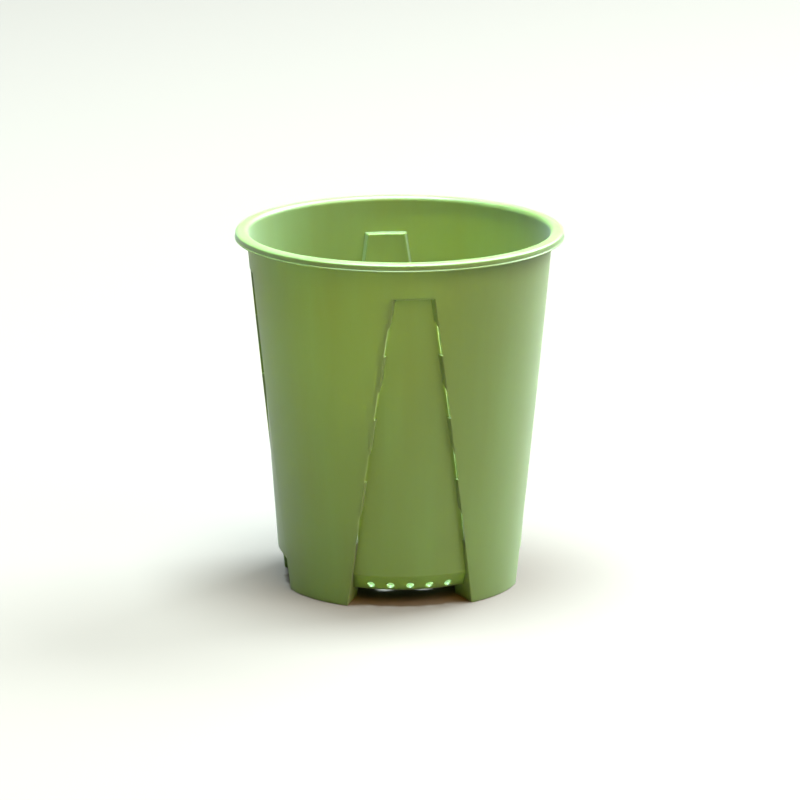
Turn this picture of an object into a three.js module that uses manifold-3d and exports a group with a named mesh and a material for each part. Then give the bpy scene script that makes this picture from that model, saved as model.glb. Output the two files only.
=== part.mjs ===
// Plastic flower pot on four feet, moulded in one piece. Millimetres, +Z up.
// The origin is the centre of the ground that the feet stand on, and -Y is the front.
import * as THREE from 'three';
import { mergeVertices } from 'three/addons/utils/BufferGeometryUtils.js';
import Module from 'manifold-3d';

const wasm = await Module();
wasm.setup();

// Overall sizes
const height = 136;
const rimDiameter = 124;
const baseDiameter = 91;
const neckDiameter = 115.6;          // outside of the wall, carried on up to the full height
const wall = 0.9;
const floorThickness = 1.2;

// Rolled lip
const lipDrop = 3;                   // how far the lip's skirt hangs below the top
const lipThickness = 1.2;
const skirtThickness = 1;
const lipCorner = 1.7;               // outer rounding of the lip
const shoulderFillet = 2;            // inner rounding from the wall up to the lip
const skirtBevel = 0.3;              // small bevels along the skirt's edges
const arcSteps = 5;

// Feet and raised floor
const floorLift = 6.1;               // clear height of the tunnels under the floor
const footInnerRadius = 32;
const chamferAngle = THREE.MathUtils.degToRad(56);

// Recessed panels: a tall wedge on each side, wide at the ground and narrow at the top
const panelDrop = 14.7;              // from the rim's top down to the panel's upper ledge
const stepAngle = THREE.MathUtils.degToRad(20);
const widePanel = {
  headings: [0, 180],
  halfWidthTop: 7.6,
  halfWidthGround: 23.4,
  recessTop: 2.9,
  recessFoot: 2.2,
  footHeight: 12.3,
  slotTopMargin: 8.7,                // from the ledge down to the highest slot
  slotFootMargin: 13,                // from the panel's foot up to the lowest slot
  holes: 5,
};
const narrowPanel = {
  headings: [90, 270],
  halfWidthTop: 7.2,
  halfWidthGround: 15,
  recessTop: 2.5,
  recessFoot: 0.3,
  footHeight: 13,
  slotTopMargin: 6.3,
  slotFootMargin: 19,
  holes: 3,
};
const panels = [widePanel, narrowPanel];

// Air slots in the steps beside the panels
const slotsPerEdge = 4;
const slotLength = 13.4;
const slotOvercut = 0.15;            // how far a slot eats into the wall and the panel
const slotLeastGap = 0.5;            // a shallower step has no slot
const slotReach = 0.8;               // how far a slot's cutter runs past the step, each way

// Drain holes
const chamferHoleDiameter = 2.9;
const chamferHolePitch = 7.4;        // along the arc
const chamferHoleRise = 2.1;         // above the tunnel's roof
const floorHoleDiameter = 5;
const floorHoles = 8;
const floorHoleRing = 19;
const centreHoleDiameter = 8;
const soleHoleDiameter = 4;
const soleHoleEdge = 6.5;            // from the foot's outer edge to the hole's centre

const rimSides = 80;
const holeSides = 16;
const halfFacet = Math.PI / rimSides;
const beyond = 6;                    // how far cutters run past what they cut
const tunnelOverlap = 12.8;          // how far a tunnel's cutter runs in under the floor's middle
const slotOverrun = 1;               // how far the ring that holds a slot runs past the slot's ends
const weldDistance = 1e-5;

// A straight edge of a turned profile: radius = r0 + slope * z
const lineThrough = (r1, z1, r2, z2) => {
  const slope = (r2 - r1) / (z2 - z1);
  return { r0: r1 - slope * z1, slope };
};
const inward = (line, distance) => ({
  r0: line.r0 - distance * Math.hypot(1, line.slope),
  slope: line.slope,
});
const radiusAt = (line, z) => line.r0 + line.slope * z;
const meet = (a, b) => {
  const z = (b.r0 - a.r0) / (a.slope - b.slope);
  return [radiusAt(a, z), z];
};

const wallLine = lineThrough(baseDiameter / 2, 0, neckDiameter / 2, height);
const panelTop = height - panelDrop;

function panelLines(panel) {
  const topRadius = radiusAt(wallLine, panelTop) - panel.recessTop;
  const footRadius = radiusAt(wallLine, panel.footHeight) - panel.recessFoot;
  const run = Math.cos(chamferAngle);
  const rise = Math.sin(chamferAngle);
  return {
    face: lineThrough(footRadius, panel.footHeight, topRadius, panelTop),
    chamfer: lineThrough(footRadius, panel.footHeight, footRadius + run, panel.footHeight + rise),
  };
}

// Closed meshes in and out of the solid library
function solid(geometry) {
  const bare = geometry.clone();
  bare.deleteAttribute('normal');
  bare.deleteAttribute('uv');
  const merged = mergeVertices(bare, weldDistance);
  return new wasm.Manifold(new wasm.Mesh({
    numProp: 3,
    vertProperties: new Float32Array(merged.attributes.position.array),
    triVerts: new Uint32Array(merged.index.array),
  }));
}

function geometryOf(manifold) {
  const mesh = manifold.getMesh();
  const geometry = new THREE.BufferGeometry();
  geometry.setAttribute('position', new THREE.BufferAttribute(mesh.vertProperties, 3));
  geometry.setIndex(new THREE.BufferAttribute(mesh.triVerts, 1));
  geometry.computeVertexNormals();
  return geometry;
}

// A solid of revolution about Z, from a profile of [radius, height] points. Panel
// surfaces are turned by half a facet, so that no edge lies along one of the wall's.
function turned(profile, turn = 0) {
  const points = profile.map(([r, z]) => new THREE.Vector2(r, z));
  return solid(new THREE.LatheGeometry(points, rimSides).rotateX(Math.PI / 2).rotateZ(turn));
}

function arc(centre, radius, fromDegrees, toDegrees) {
  return Array.from({ length: arcSteps + 1 }, (_, i) => {
    const angle = THREE.MathUtils.degToRad(fromDegrees + (toDegrees - fromDegrees) * i / arcSteps);
    return [centre[0] + radius * Math.cos(angle), centre[1] + radius * Math.sin(angle)];
  });
}

// Outside of the wall and lip, filled up to the axis
function outerProfile() {
  const rim = rimDiameter / 2;
  const underLip = height - lipThickness;
  const skirtFoot = height - lipDrop;
  const skirtInside = rim - skirtThickness;
  return [
    [0, 0],
    [radiusAt(wallLine, 0), 0],
    [radiusAt(wallLine, underLip), underLip],
    [skirtInside - skirtBevel, underLip],
    [skirtInside, underLip - skirtBevel],
    [skirtInside, skirtFoot + skirtBevel],
    [skirtInside + skirtBevel, skirtFoot],
    [rim - skirtBevel, skirtFoot],
    [rim, skirtFoot + skirtBevel],
    ...arc([rim - lipCorner, height - lipCorner], lipCorner, 0, 90),
    [0, height],
  ];
}

// Inside of the wall, with the shoulder that turns out on to the lip
function innerProfile() {
  const line = inward(wallLine, wall);
  const shoulderFoot = height - shoulderFillet;
  const shoulderCentre = radiusAt(line, shoulderFoot) + shoulderFillet;
  return [
    [0, floorThickness],
    [radiusAt(line, floorThickness), floorThickness],
    ...arc([shoulderCentre, shoulderFoot], shoulderFillet, 180, 90),
    [shoulderCentre, height + beyond],
    [0, height + beyond],
  ];
}

// Half the width of a panel's wedge, at a distance y from the axis and a height z.
// It is the same plane at every height, so the steps beside the panel are flat.
function wedgeSide(panel) {
  const lean = Math.tan(stepAngle);
  const reach = (halfWidth, z) => Math.sqrt(radiusAt(wallLine, z) ** 2 - halfWidth ** 2);
  const ground = panel.halfWidthGround - lean * reach(panel.halfWidthGround, 0);
  const top = panel.halfWidthTop - lean * reach(panel.halfWidthTop, panelTop);
  const rise = (top - ground) / panelTop;
  const spread = Math.hypot(1, lean, rise);
  return {
    halfWidth: (y, z, offset) => ground + rise * z + lean * y + offset * spread,
  };
}

// A block drawn across the panel as [distance from the axis, height] points, and
// carried sideways from one surface to another. It faces the front.
function panelBlock(outline, fromSide, toSide) {
  const shape = new THREE.Shape(outline.map(([y, z]) => new THREE.Vector2(y, z)));
  const block = new THREE.ExtrudeGeometry(shape, { depth: 1, bevelEnabled: false });
  const position = block.attributes.position;
  for (let i = 0; i < position.count; i++) {
    const y = position.getX(i);
    const z = position.getY(i);
    const across = THREE.MathUtils.lerp(fromSide(y, z), toSide(y, z), position.getZ(i));
    position.setXYZ(i, across, y, z);
  }
  return solid(block.rotateZ(Math.PI));
}

// A block that fills the panel's wedge from side to side
function wedgeBlock(panel, outline, offset) {
  const { halfWidth } = wedgeSide(panel);
  return panelBlock(outline, (y, z) => -halfWidth(y, z, offset), (y, z) => halfWidth(y, z, offset));
}

// What lies behind a panel: its face, its chamfered foot and the roof of its tunnel
function panelCore(panel, inset, tunnelRoof) {
  const { face, chamfer } = panelLines(panel);
  const faceIn = inward(face, inset);
  const chamferIn = inward(chamfer, inset);
  const top = panelTop + inset + beyond;
  return turned([
    [0, tunnelRoof],
    [radiusAt(chamferIn, tunnelRoof), tunnelRoof],
    meet(faceIn, chamferIn),
    [radiusAt(faceIn, top), top],
    [0, top],
  ], halfFacet);
}

// The whole pot's form, with its sides moved in by one distance and its floor
// raised by another: (0, 0) is the outside, (wall, floorThickness) the inside.
function potForm(profile, inset, lift) {
  const tunnelRoof = floorLift + lift;
  const outside = rimDiameter / 2 + beyond;
  const centre = footInnerRadius + inset;
  let form = turned(profile);
  form = form.subtract(turned([[0, -beyond], [centre, -beyond], [centre, tunnelRoof], [0, tunnelRoof]]));
  for (const panel of panels) {
    const ledge = panelTop + inset;
    const deep = radiusAt(panelLines(panel).face, panelTop) - 2 * beyond;
    const under = centre - tunnelOverlap;
    const outline = [[under, -beyond], [outside, -beyond], [outside, ledge], [deep, ledge]];
    const recess = wedgeBlock(panel, outline, inset).subtract(panelCore(panel, inset, tunnelRoof));
    for (const heading of panel.headings) {
      form = form.subtract(recess.rotate([0, 0, heading]));
    }
  }
  return form;
}

// Each slot leaves out the step between the wall's inside and the panel's outside
function slotCutters(panel) {
  const { halfWidth } = wedgeSide(panel);
  const panelSide = inward(panelLines(panel).face, slotOvercut);
  const wallSide = inward(wallLine, wall - slotOvercut);
  const lowest = panel.footHeight + panel.slotFootMargin;
  const highest = panelTop - panel.slotTopMargin - slotLength;
  const pitch = (highest - lowest) / (slotsPerEdge - 1);
  const cutters = [];
  for (let i = 0; i < slotsPerEdge; i++) {
    const foot = lowest + i * pitch;
    const head = foot + slotLength;
    if (radiusAt(wallSide, foot) - radiusAt(panelSide, foot) < slotLeastGap) continue;
    const below = foot - slotOverrun;
    const above = head + slotOverrun;
    const gap = turned([
      [radiusAt(panelSide, below), below],
      [radiusAt(wallSide, below), below],
      [radiusAt(wallSide, above), above],
      [radiusAt(panelSide, above), above],
      [radiusAt(panelSide, below), below],
    ], halfFacet);
    const inner = radiusAt(panelSide, foot) - 2 * beyond;
    const outer = rimDiameter / 2;
    const step = panelBlock(
      [[inner, foot], [outer, foot], [outer, head], [inner, head]],
      (y, z) => halfWidth(y, z, -slotReach),
      (y, z) => halfWidth(y, z, wall + slotReach),
    );
    const slot = gap.intersect(step);
    cutters.push(slot, slot.mirror([1, 0, 0]));
  }
  return cutters;
}

function drill(diameter, length) {
  return new THREE.CylinderGeometry(diameter / 2, diameter / 2, length, holeSides);
}

// Round holes square to the chamfer at a panel's foot
function chamferHoleCutters(panel) {
  const { chamfer } = panelLines(panel);
  const z = floorLift + chamferHoleRise;
  const radius = radiusAt(chamfer, z);
  const step = chamferHolePitch / radius;
  return Array.from({ length: panel.holes }, (_, i) => {
    const turn = (i - (panel.holes - 1) / 2) * step;
    const hole = drill(chamferHoleDiameter, beyond)
      .rotateX(Math.PI / 2 - chamferAngle)
      .translate(0, -radius, z)
      .rotateZ(turn);
    return solid(hole);
  });
}

function floorHoleCutters() {
  const upright = (diameter, radius, angle) => solid(
    drill(diameter, 2 * beyond).rotateX(Math.PI / 2).translate(0, -radius, floorLift).rotateZ(angle),
  );
  const holes = [upright(centreHoleDiameter, 0, 0)];
  for (let i = 0; i < floorHoles; i++) {
    holes.push(upright(floorHoleDiameter, floorHoleRing, 2 * Math.PI * (i + 0.5) / floorHoles));
  }
  return holes;
}

// One hole in each foot's sole, midway between the panels beside it
function soleHoleCutters() {
  const edgeAngle = (panel) => Math.asin(panel.halfWidthGround / (baseDiameter / 2));
  const middle = (edgeAngle(widePanel) + Math.PI / 2 - edgeAngle(narrowPanel)) / 2;
  const radius = baseDiameter / 2 - soleHoleEdge;
  return [middle, -middle, Math.PI - middle, Math.PI + middle].map((angle) => solid(
    drill(soleHoleDiameter, 4 * floorThickness).rotateX(Math.PI / 2).translate(0, -radius, 0).rotateZ(angle),
  ));
}

function potBody() {
  const outside = potForm(outerProfile(), 0, 0);
  const inside = potForm(innerProfile(), wall, floorThickness);
  let body = outside.subtract(inside);
  for (const panel of panels) {
    const cutters = [...slotCutters(panel), ...chamferHoleCutters(panel)];
    for (const heading of panel.headings) {
      for (const cutter of cutters) {
        body = body.subtract(cutter.rotate([0, 0, heading]));
      }
    }
  }
  for (const cutter of [...floorHoleCutters(), ...soleHoleCutters()]) {
    body = body.subtract(cutter);
  }
  return body;
}

const greenPlastic = new THREE.MeshStandardMaterial({
  color: new THREE.Color().setRGB(0.49, 0.56, 0.27, THREE.SRGBColorSpace),
  roughness: 0.38,
  metalness: 0,
});

const pot = new THREE.Mesh(geometryOf(potBody()), greenPlastic);
pot.name = 'pot_body';

const flowerPot = new THREE.Group();
flowerPot.add(pot);

export default flowerPot;
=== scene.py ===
import math

import bpy
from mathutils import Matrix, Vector


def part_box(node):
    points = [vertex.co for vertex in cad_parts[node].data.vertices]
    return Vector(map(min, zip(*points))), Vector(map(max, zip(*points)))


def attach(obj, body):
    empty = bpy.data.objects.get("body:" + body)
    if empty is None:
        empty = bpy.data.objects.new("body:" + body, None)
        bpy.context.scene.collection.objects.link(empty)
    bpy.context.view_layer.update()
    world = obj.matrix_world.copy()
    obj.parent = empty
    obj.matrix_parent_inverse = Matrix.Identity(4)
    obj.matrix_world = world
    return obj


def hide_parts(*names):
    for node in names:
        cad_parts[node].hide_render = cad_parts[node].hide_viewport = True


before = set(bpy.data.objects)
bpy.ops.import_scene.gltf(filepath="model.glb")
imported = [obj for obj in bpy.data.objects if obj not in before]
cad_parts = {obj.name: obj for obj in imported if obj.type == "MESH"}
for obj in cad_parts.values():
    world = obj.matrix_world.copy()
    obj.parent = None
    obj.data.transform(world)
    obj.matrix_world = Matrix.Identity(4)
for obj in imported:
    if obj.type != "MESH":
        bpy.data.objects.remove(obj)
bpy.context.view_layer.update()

# Sizes in millimetres. The pot is modelled at this scale, facing -Y, and brought to metres at the end.
MM = 0.001
RIM_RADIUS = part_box("pot_body")[1].x / MM
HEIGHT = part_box("pot_body")[1].z / MM
BASE_RADIUS = 45.5
NECK_RADIUS = 57.8           # outside of the wall, carried on up to the full height
WALL = 0.9
FLOOR_THICKNESS = 1.2

# Rolled lip
LIP_DROP = 3
LIP_THICKNESS = 1.2
SKIRT_THICKNESS = 1
SKIRT_BEVEL = 0.3
SHOULDER_FILLET = 2
DOME_WIDTH = 2.6             # the lip's top falls away over this width, by DOME_DROP, to a crisp corner
DOME_DROP = 0.95
BEAD = 0.25                  # how far the bead along the skirt's foot stands out
BEAD_HEIGHT = 0.3
BEAD_SLOPE = 0.3             # height of the bead's upper slope

# Feet and raised floor
FLOOR_LIFT = 6.1
FOOT_INNER_RADIUS = 32
CHAMFER_ANGLE = math.radians(56)

# Recessed panels
PANEL_TOP = HEIGHT - 14.7
STEP_LEAN = math.tan(math.radians(20))
WIDE_PANEL = {
    "headings": (0, 180),
    "half_width_top": 7.6,
    "half_width_ground": 23.4,
    "recess_top": 2.9,
    "recess_foot": 2.2,
    "foot_height": 12.3,
    "slot_top_margin": 8.7,
    "slot_foot_margin": 13,
    "holes": 5,
}
NARROW_PANEL = {
    "headings": (90, 270),
    "half_width_top": 7.2,
    "half_width_ground": 15,
    "recess_top": 2.5,
    "recess_foot": 0.3,
    "foot_height": 13,
    "slot_top_margin": 6.3,
    "slot_foot_margin": 19,
    "holes": 3,
}
PANELS = (WIDE_PANEL, NARROW_PANEL)

# Air slots in the steps beside the panels
SLOTS_PER_EDGE = 4
SLOT_LENGTH = 13.4
SLOT_NOTCH = 0.3             # how far a slot bites into the wall beside the step
SLOT_FLUSH = 0.02            # the same into the panel's face, which stays whole to the eye
SLOT_LEAST_GAP = 0.25        # where the wall's inside clears the panel by less, there is no slot
SLOT_REACH = 0.8             # how far a slot's cutter runs past the step, inside the pot
SLOT_CLEARANCE = 0.4         # the same outside the pot
SLOT_SLANT = 2.6             # how much lower a slot ends on the wall's side than on the panel's
SLOT_ROUNDS = 4              # rounds that bring a slot's corner on to its wedge and its radius at once

# Drain holes
CHAMFER_HOLE_RADIUS = 1.45
CHAMFER_HOLE_PITCH = 7.4
CHAMFER_HOLE_RISE = 2.1
FLOOR_HOLE_RADIUS = 2.5
FLOOR_HOLES = 8
FLOOR_HOLE_RING = 19
CENTRE_HOLE_RADIUS = 4
SOLE_HOLE_RADIUS = 2
SOLE_HOLE_EDGE = 6.5

# How the mesh is made
SIDES = 192
HOLE_SIDES = 32
HALF_FACET = math.pi / SIDES  # turns a panel's face so that its facets don't line up with the wall's
BEYOND = 6                   # how far cutters run past what they cut
TUNNEL_OVERLAP = 12.8        # how far a panel's wedge reaches in past the feet at the ground
ARC_STEPS = 8
WELD = 0.002                 # vertices that are closer than this become one
EDGE_RADIUS = 0.35
EDGE_SEGMENTS = 3
SHARP_EDGE = math.radians(25)
FLAT_ANGLE = math.radians(0.2)
SMOOTH_ANGLE = math.radians(35)
STEP_SHARE = 0.4             # most of a step's depth that its rounding takes

# Studio, in metres
STUDIO_RADIUS = 12
STUDIO_SIDES = 96
SOFTBOX = 1.6
WIDE_SOFTBOX = 1.9

# Camera at the photograph's view, in metres but for the lens and its film, in millimetres
CAMERA_DISTANCE = 1.906
CAMERA_ELEVATION = math.radians(14.396)
CAMERA_AZIMUTH = math.radians(-5.5)
CAMERA_AIM_HEIGHT = 0.06922
CAMERA_AIM_RIGHT = 0.00016
CAMERA_REACH = 50            # nothing past this distance is seen
LENS = 226.1
FILM_WIDTH = 36


def activate(piece):
    """Selects one piece alone and makes it the active one."""
    bpy.ops.object.select_all(action="DESELECT")
    piece.select_set(True)
    bpy.context.view_layer.objects.active = piece


def edit_all(piece):
    """Opens a piece in edit mode with all of it selected."""
    activate(piece)
    bpy.ops.object.mode_set(mode="EDIT")
    bpy.ops.mesh.select_all(action="SELECT")


def leave_edit():
    bpy.ops.object.mode_set(mode="OBJECT")


def line_through(radius_a, z_a, radius_b, z_b):
    """A straight edge of a turned profile, as (radius at the ground, slope)."""
    slope = (radius_b - radius_a) / (z_b - z_a)
    return radius_a - slope * z_a, slope


def inward(line, distance):
    """The same edge, moved towards the axis square to itself."""
    return line[0] - distance * math.hypot(1, line[1]), line[1]


def radius_at(line, z):
    return line[0] + line[1] * z


def meet(line_a, line_b):
    """The point, as (radius, height), where two edges cross."""
    z = (line_b[0] - line_a[0]) / (line_a[1] - line_b[1])
    return radius_at(line_a, z), z


WALL_LINE = line_through(BASE_RADIUS, 0, NECK_RADIUS, HEIGHT)


def panel_lines(panel):
    """The profile of a panel's face, and of the chamfer at its foot."""
    top_radius = radius_at(WALL_LINE, PANEL_TOP) - panel["recess_top"]
    foot_height = panel["foot_height"]
    foot_radius = radius_at(WALL_LINE, foot_height) - panel["recess_foot"]
    face = line_through(foot_radius, foot_height, top_radius, PANEL_TOP)
    chamfer = line_through(
        foot_radius, foot_height,
        foot_radius + math.cos(CHAMFER_ANGLE), foot_height + math.sin(CHAMFER_ANGLE),
    )
    return face, chamfer


def arc(centre, radius, from_degrees, to_degrees, rise=None):
    """Points along a circle's arc, or an ellipse's where its rise differs from its radius."""
    angles = [
        math.radians(from_degrees + (to_degrees - from_degrees) * i / ARC_STEPS)
        for i in range(ARC_STEPS + 1)
    ]
    up = rise or radius
    return [(centre[0] + radius * math.cos(a), centre[1] + up * math.sin(a)) for a in angles]


def turned(name, profile, turn=0.0):
    """A closed solid, spun about Z from (radius, height) points that start and end on the axis."""
    mesh = bpy.data.meshes.new(name)
    points = [(r * math.sin(turn), -r * math.cos(turn), z) for r, z in profile]
    mesh.from_pydata(points, [(i, i + 1) for i in range(len(points) - 1)], [])
    piece = bpy.data.objects.new(name, mesh)
    bpy.context.scene.collection.objects.link(piece)
    edit_all(piece)
    bpy.ops.mesh.spin(steps=SIDES, angle=2 * math.pi, center=(0, 0, 0), axis=(0, 0, 1))
    bpy.ops.mesh.select_all(action="SELECT")
    bpy.ops.mesh.remove_doubles(threshold=WELD)
    bpy.ops.mesh.normals_make_consistent(inside=False)
    leave_edit()
    return piece


def block(name, corner):
    """A cube whose corners are moved to corner(across, depth, level), each of them -1 or 1."""
    bpy.ops.object.select_all(action="DESELECT")
    bpy.ops.mesh.primitive_cube_add(size=2)
    piece = bpy.context.object
    piece.name = name
    for vertex in piece.data.vertices:
        vertex.co = corner(*vertex.co)
    edit_all(piece)
    bpy.ops.mesh.normals_make_consistent(inside=False)
    leave_edit()
    return piece


def cut(piece, cutter):
    """Cuts one piece with another, which is used up."""
    activate(piece)
    boolean = piece.modifiers.new("cut", "BOOLEAN")
    boolean.operation = "DIFFERENCE"
    boolean.solver = "EXACT"
    boolean.object = cutter
    bpy.ops.object.modifier_apply(modifier=boolean.name)
    bpy.data.objects.remove(cutter)


def turn_to(piece, heading):
    """Turns a piece about Z, from the front to a heading in degrees."""
    activate(piece)
    piece.rotation_euler.z = math.radians(heading)
    bpy.ops.object.transform_apply(location=False, rotation=True, scale=False)
    return piece


def joined(name, pieces):
    """Makes one object of several pieces."""
    activate(pieces[0])
    for piece in pieces:
        piece.select_set(True)
    bpy.ops.object.join()
    pieces[0].name = name
    return pieces[0]


def outer_profile():
    """Outside of the wall and lip, filled up to the axis."""
    under_lip = HEIGHT - LIP_THICKNESS
    skirt_foot = HEIGHT - LIP_DROP
    skirt_inside = RIM_RADIUS - SKIRT_THICKNESS
    side = RIM_RADIUS - BEAD
    return [
        (0, 0),
        (BASE_RADIUS, 0),
        (radius_at(WALL_LINE, under_lip), under_lip),
        (skirt_inside - SKIRT_BEVEL, under_lip),
        (skirt_inside, under_lip - SKIRT_BEVEL),
        (skirt_inside, skirt_foot + SKIRT_BEVEL),
        (skirt_inside + SKIRT_BEVEL, skirt_foot),
        (RIM_RADIUS - BEAD / 2, skirt_foot),
        (RIM_RADIUS, skirt_foot + BEAD / 2),
        (RIM_RADIUS, skirt_foot + BEAD_HEIGHT),
        (side, skirt_foot + BEAD_HEIGHT + BEAD_SLOPE),
        *arc((side - DOME_WIDTH, HEIGHT - DOME_DROP), DOME_WIDTH, 0, 90, DOME_DROP),
        (0, HEIGHT),
    ]


def inner_profile():
    """Inside of the wall, with the shoulder that turns out on to the lip."""
    line = inward(WALL_LINE, WALL)
    shoulder_foot = HEIGHT - SHOULDER_FILLET
    centre = radius_at(line, shoulder_foot) + SHOULDER_FILLET
    return [
        (0, FLOOR_THICKNESS),
        (radius_at(line, FLOOR_THICKNESS), FLOOR_THICKNESS),
        *arc((centre, shoulder_foot), SHOULDER_FILLET, 180, 90),
        (centre, HEIGHT + BEYOND),
        (0, HEIGHT + BEYOND),
    ]


def half_width(panel, y, z, offset):
    """Half of a wedge's width at a distance y from the axis and a height z, moved out by an offset."""
    def reach(width, height):
        return math.sqrt(radius_at(WALL_LINE, height) ** 2 - width ** 2)

    ground = panel["half_width_ground"] - STEP_LEAN * reach(panel["half_width_ground"], 0)
    top = panel["half_width_top"] - STEP_LEAN * reach(panel["half_width_top"], PANEL_TOP)
    rise = (top - ground) / PANEL_TOP
    spread = math.sqrt(1 + STEP_LEAN ** 2 + rise ** 2)
    return ground + rise * z + STEP_LEAN * y + offset * spread


def panel_recess(panel, inset, tunnel_roof):
    """What a panel takes out of the pot's form: its wedge, less what lies behind its face and chamfer."""
    face, chamfer = panel_lines(panel)
    centre = FOOT_INNER_RADIUS + inset
    inner_ends = {-1: centre - TUNNEL_OVERLAP, 1: radius_at(face, PANEL_TOP) - 2 * BEYOND}
    levels = {-1: -BEYOND, 1: PANEL_TOP + inset}

    def corner(across, depth, level):
        y = RIM_RADIUS + BEYOND if depth > 0 else inner_ends[level]
        z = levels[level]
        return across * half_width(panel, y, z, inset), -y, z

    face_in = inward(face, inset)
    chamfer_in = inward(chamfer, inset)
    top = PANEL_TOP + inset + BEYOND
    core = turned("panel_core", [
        (0, tunnel_roof),
        (radius_at(chamfer_in, tunnel_roof), tunnel_roof),
        meet(face_in, chamfer_in),
        (radius_at(face_in, top), top),
        (0, top),
    ], HALF_FACET)
    recess = block("panel_recess", corner)
    cut(recess, core)
    return recess


def pot_form(name, profile, inset, lift):
    """The pot's form, with its sides moved in by one distance and its floor raised by another."""
    roof = FLOOR_LIFT + lift
    centre = FOOT_INNER_RADIUS + inset
    form = turned(name, profile)
    cut(form, turned("under_floor", [(0, -BEYOND), (centre, -BEYOND), (centre, roof), (0, roof)]))
    for panel in PANELS:
        for heading in panel["headings"]:
            cut(form, turn_to(panel_recess(panel, inset, roof), heading))
    return form


def slot_sides(panel):
    """The edges that a slot runs between: just behind the panel's face and just outside the wall."""
    return inward(panel_lines(panel)[0], SLOT_FLUSH), inward(WALL_LINE, -SLOT_FLUSH)


def slot_block(panel, foot, side):
    """A block that leaves out one slot's length of the step on one side of a panel."""
    panel_side, wall_side = slot_sides(panel)

    def corner(across, depth, level):
        z = foot if level < 0 else foot + SLOT_LENGTH - (SLOT_SLANT if depth > 0 else 0)
        radius = radius_at(wall_side if depth > 0 else panel_side, z)
        reach = SLOT_NOTCH if depth > 0 else WALL + SLOT_REACH
        offset = reach if across > 0 else -SLOT_CLEARANCE
        x = 0
        for _ in range(SLOT_ROUNDS):
            y = math.sqrt(radius ** 2 - x ** 2)
            x = half_width(panel, y, z, offset)
        return side * x, -y, z

    return block("slot", corner)


def slot_cutters(panel):
    """The slots of one panel, spaced evenly up its two steps."""
    panel_side, wall_side = slot_sides(panel)
    lowest = panel["foot_height"] + panel["slot_foot_margin"]
    highest = PANEL_TOP - panel["slot_top_margin"] - SLOT_LENGTH
    pitch = (highest - lowest) / (SLOTS_PER_EDGE - 1)
    cutters = []
    for i in range(SLOTS_PER_EDGE):
        foot = lowest + i * pitch
        gap = radius_at(wall_side, foot) - WALL - radius_at(panel_side, foot)
        if gap >= SLOT_LEAST_GAP:
            cutters += [slot_block(panel, foot, side) for side in (-1, 1)]
    return cutters


def drill(radius, depth, location, tilt=0.0):
    """A cylinder that cuts a round hole, upright or tilted about X."""
    bpy.ops.object.select_all(action="DESELECT")
    bpy.ops.mesh.primitive_cylinder_add(
        vertices=HOLE_SIDES, radius=radius, depth=depth, location=location, rotation=(tilt, 0, 0),
    )
    piece = bpy.context.object
    bpy.ops.object.transform_apply(location=True, rotation=True, scale=True)
    return piece


def chamfer_hole_cutters(panel):
    """Round holes square to the chamfer at a panel's foot."""
    z = FLOOR_LIFT + CHAMFER_HOLE_RISE
    radius = radius_at(panel_lines(panel)[1], z)
    step = math.degrees(CHAMFER_HOLE_PITCH / radius)
    tilt = math.pi - CHAMFER_ANGLE
    holes = []
    for i in range(panel["holes"]):
        hole = drill(CHAMFER_HOLE_RADIUS, BEYOND, (0, -radius, z), tilt)
        holes.append(turn_to(hole, (i - (panel["holes"] - 1) / 2) * step))
    return holes


def floor_hole_cutters():
    """A hole in the middle of the raised floor and a ring of smaller ones round it."""
    holes = [drill(CENTRE_HOLE_RADIUS, 2 * BEYOND, (0, 0, FLOOR_LIFT))]
    for i in range(FLOOR_HOLES):
        hole = drill(FLOOR_HOLE_RADIUS, 2 * BEYOND, (0, -FLOOR_HOLE_RING, FLOOR_LIFT))
        holes.append(turn_to(hole, 360 * (i + 0.5) / FLOOR_HOLES))
    return holes


def sole_hole_cutters():
    """One hole in each foot's sole, midway between the panels beside it."""
    wide_edge, narrow_edge = [math.asin(p["half_width_ground"] / BASE_RADIUS) for p in PANELS]
    middle = math.degrees((wide_edge + math.pi / 2 - narrow_edge) / 2)
    holes = []
    for heading in (middle, -middle, 180 - middle, 180 + middle):
        hole = drill(SOLE_HOLE_RADIUS, 4 * FLOOR_THICKNESS, (0, SOLE_HOLE_EDGE - BASE_RADIUS, 0))
        holes.append(turn_to(hole, heading))
    return holes


def softness(point):
    """The share of EDGE_RADIUS that an edge gets: less beside a shallow step, and none on the lip."""
    if point.z > HEIGHT - LIP_DROP - BEYOND:
        return 0.0
    narrow = abs(point.y) < NARROW_PANEL["half_width_ground"] + BEYOND and abs(point.x) > abs(point.y)
    if not narrow or point.z < NARROW_PANEL["foot_height"] - BEYOND:
        return 1.0
    step = radius_at(WALL_LINE, point.z) - radius_at(panel_lines(NARROW_PANEL)[0], point.z)
    return min(1.0, STEP_SHARE * step / EDGE_RADIUS)


def mark_edges(piece):
    """Tidies a piece's flat faces and gives each sharp edge its share of the rounding."""
    activate(piece)
    bpy.ops.object.mode_set(mode="EDIT")
    bpy.ops.mesh.select_mode(type="EDGE")
    bpy.ops.mesh.select_all(action="SELECT")
    bpy.ops.mesh.remove_doubles(threshold=WELD)
    bpy.ops.mesh.dissolve_limited(angle_limit=FLAT_ANGLE)
    bpy.ops.mesh.select_all(action="DESELECT")
    bpy.ops.mesh.edges_select_sharp(sharpness=SHARP_EDGE)
    leave_edit()
    mesh = piece.data
    weights = mesh.attributes.new("bevel_weight_edge", "FLOAT", "EDGE")
    for edge in mesh.edges:
        if edge.select:
            first, last = [mesh.vertices[i].co for i in edge.vertices]
            weights.data[edge.index].value = softness((first + last) / 2)


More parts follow.
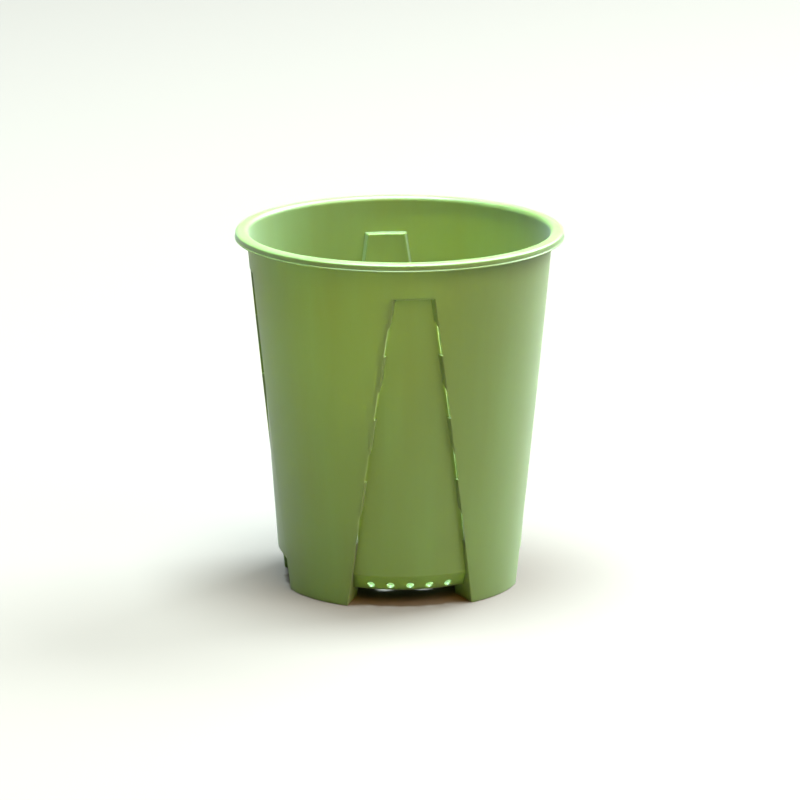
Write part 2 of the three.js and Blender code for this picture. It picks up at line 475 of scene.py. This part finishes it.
def round_edges(piece):
    """Rounds the marked edges, then joins what the rounding left too close together."""
    activate(piece)
    bevel = piece.modifiers.new("rounding", "BEVEL")
    bevel.limit_method = "WEIGHT"
    bevel.width = EDGE_RADIUS
    bevel.segments = EDGE_SEGMENTS
    bevel.use_clamp_overlap = False
    bpy.ops.object.modifier_apply(modifier=bevel.name)
    edit_all(piece)
    bpy.ops.mesh.quads_convert_to_tris(quad_method="BEAUTY", ngon_method="BEAUTY")
    bpy.ops.mesh.remove_doubles(threshold=WELD)
    bpy.ops.mesh.dissolve_degenerate(threshold=WELD)
    leave_edit()


def moulded_pot():
    """The whole pot: its outer form less its inner one, with slots, holes and rounded edges."""
    pot = pot_form("moulded_pot", outer_profile(), 0, 0)
    cut(pot, pot_form("inside", inner_profile(), WALL, FLOOR_THICKNESS))
    mark_edges(pot)
    openings = floor_hole_cutters() + sole_hole_cutters()
    for panel in PANELS:
        for heading in panel["headings"]:
            for cutter in slot_cutters(panel) + chamfer_hole_cutters(panel):
                openings.append(turn_to(cutter, heading))
    cut(pot, joined("openings", openings))
    round_edges(pot)
    pot.scale = (MM, MM, MM)
    bpy.ops.object.transform_apply(location=False, rotation=False, scale=True)
    bpy.ops.object.shade_smooth_by_angle(angle=SMOOTH_ANGLE)
    weighted = pot.modifiers.new("even shading", "WEIGHTED_NORMAL")
    weighted.keep_sharp = True
    bpy.ops.object.modifier_apply(modifier=weighted.name)
    return pot


# Materials
class Wire:
    """An output socket of a material. Arithmetic adds Math nodes, and node() adds any other node."""

    def __init__(self, tree, output=None):
        self.tree = tree
        self.output = output

    def node(self, kind, settings, sockets, output=0):
        node = self.tree.nodes.new(kind)
        for name, value in settings.items():
            if name == "stops":
                for element, (position, colour) in zip(ramp_elements(node, len(value)), value):
                    element.position = position
                    element.color = colour
            else:
                setattr(node, name, value)
        for name, value in sockets.items():
            if isinstance(value, Wire):
                self.tree.links.new(value.output, node.inputs[name])
            else:
                node.inputs[name].default_value = value
        return Wire(self.tree, node.outputs[output])

    def maths(self, operation, first, second):
        return self.node("ShaderNodeMath", {"operation": operation}, {0: first, 1: second})

    def __add__(self, other):
        return self.maths("ADD", self, other)

    def __radd__(self, other):
        return self.maths("ADD", other, self)

    def __mul__(self, other):
        return self.maths("MULTIPLY", self, other)

    def __rmul__(self, other):
        return self.maths("MULTIPLY", other, self)


def ramp_elements(node, count):
    """A ramp's stops, with as many added as are wanted."""
    elements = node.color_ramp.elements
    while len(elements) < count:
        elements.new(1.0)
    return elements


def new_material(name):
    """A new material, a wire to start its nodes from, and its surface shader."""
    material = bpy.data.materials.new(name)
    material.use_nodes = True
    tree = material.node_tree
    return material, Wire(tree), tree.nodes["Principled BSDF"]


def green_plastic():
    """Satin moulded polypropylene: an even olive green, soft flow marks and a slightly uneven gloss."""
    material, wire, surface = new_material("green_plastic")
    tree = material.node_tree
    place = wire.node("ShaderNodeTexCoord", {}, {}, "Object")
    drawn_out = wire.node("ShaderNodeMapping", {}, {"Vector": place, "Scale": (1.0, 1.0, 0.12)})
    flow = wire.node("ShaderNodeTexNoise", {}, {"Vector": drawn_out, "Scale": 85.0, "Detail": 3.0})
    cloud = wire.node("ShaderNodeTexNoise", {}, {"Vector": place, "Scale": 14.0, "Detail": 2.0})
    grain = wire.node("ShaderNodeTexNoise", {}, {"Vector": place, "Scale": 2600.0, "Detail": 2.0})
    wave = wire.node("ShaderNodeTexNoise", {}, {"Vector": drawn_out, "Scale": 60.0, "Detail": 1.0})
    tone = flow * 0.6 + cloud * 0.4
    colour = wire.node("ShaderNodeValToRGB", {"stops": [
        (0.35, (0.098, 0.147, 0.029, 1)),
        (0.65, (0.104, 0.170, 0.045, 1)),
    ]}, {"Fac": tone})
    roughness = 0.38 + flow * 0.08 + grain * 0.05
    waviness = wire.node("ShaderNodeBump", {}, {"Height": wave, "Strength": 0.25, "Distance": 0.0004})
    relief = wire.node("ShaderNodeBump", {}, {
        "Height": grain, "Strength": 0.12, "Distance": 0.00004, "Normal": waviness,
    })
    tree.links.new(colour.output, surface.inputs["Base Color"])
    tree.links.new(roughness.output, surface.inputs["Roughness"])
    tree.links.new(relief.output, surface.inputs["Normal"])
    surface.inputs["Subsurface Weight"].default_value = 0.85
    surface.inputs["Subsurface Radius"].default_value = (1.2, 1.2, 0.7)
    surface.inputs["Subsurface Scale"].default_value = 0.0028
    surface.inputs["IOR"].default_value = 1.49
    surface.inputs["Sheen Weight"].default_value = 0.1
    return material


def pale_floor():
    """Plain and matt. Its colour is fairly dark, and under these lights it shows as near white."""
    material, _, surface = new_material("pale_floor")
    surface.inputs["Base Color"].default_value = (0.142, 0.112, 0.094, 1)
    surface.inputs["Roughness"].default_value = 0.9
    return material


def build_floor():
    bpy.ops.object.select_all(action="DESELECT")
    bpy.ops.mesh.primitive_circle_add(vertices=STUDIO_SIDES, radius=STUDIO_RADIUS, fill_type="NGON")
    floor = bpy.context.object
    floor.name = "floor"
    floor.data.materials.append(pale_floor())


def soft_light(name, location, size, power, colour=(1, 1, 1)):
    """A square softbox that faces the middle of the pot."""
    lamp = bpy.data.lights.new(name, "AREA")
    lamp.size = size
    lamp.energy = power
    lamp.color = colour
    light = bpy.data.objects.new(name, lamp)
    light.location = location
    aim = Vector((0, 0, HEIGHT * MM / 2)) - Vector(location)
    light.rotation_euler = aim.to_track_quat("-Z", "Y").to_euler()
    bpy.context.scene.collection.objects.link(light)


def build_lights():
    """Cool light from above and behind, warm light from the front, and a faint even one all round."""
    soft_light("top_softbox", (0, 0, 2.9), SOFTBOX, 570, (0.69, 0.93, 1.0))
    soft_light("back_softbox", (1.75, 1.1, 1.9), SOFTBOX, 275, (0.74, 0.93, 1.0))
    soft_light("front_softbox", (1.6, -1.3, 1.9), SOFTBOX, 58, (1.0, 0.93, 0.8))
    soft_light("side_softbox", (2.7, 0.3, 0.75), SOFTBOX, 13)
    soft_light("rim_softbox", (0, 3.2, 1.0), WIDE_SOFTBOX, 6)
    soft_light("warm_fill", (0.3, -2.1, 1.7), SOFTBOX, 42, (1.0, 0.6, 0.1))
    world = bpy.data.worlds.new("studio")
    bpy.context.scene.world = world
    world.use_nodes = True
    background = world.node_tree.nodes["Background"]
    background.inputs["Color"].default_value = (1, 1, 1, 1)
    background.inputs["Strength"].default_value = 0.03
    bpy.context.scene.view_settings.view_transform = "Standard"


def build_camera():
    """Looks at a point near the pot's middle from the photograph's side and height."""
    camera_data = bpy.data.cameras.new("camera")
    camera_data.lens = LENS
    camera_data.sensor_width = FILM_WIDTH
    camera_data.clip_end = CAMERA_REACH
    camera = bpy.data.objects.new("camera", camera_data)
    away = Vector((
        math.sin(CAMERA_AZIMUTH) * math.cos(CAMERA_ELEVATION),
        -math.cos(CAMERA_AZIMUTH) * math.cos(CAMERA_ELEVATION),
        math.sin(CAMERA_ELEVATION),
    ))
    right = Vector((math.cos(CAMERA_AZIMUTH), math.sin(CAMERA_AZIMUTH), 0))
    aim = Vector((0, 0, CAMERA_AIM_HEIGHT)) + right * CAMERA_AIM_RIGHT
    camera.location = aim + away * CAMERA_DISTANCE
    camera.rotation_euler = (-away).to_track_quat("-Z", "Y").to_euler()
    bpy.context.scene.collection.objects.link(camera)
    bpy.context.scene.camera = camera


build_camera()
build_floor()
build_lights()

pot = moulded_pot()
pot.data.materials.clear()
pot.data.materials.append(green_plastic())
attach(pot, "root")
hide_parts("pot_body")
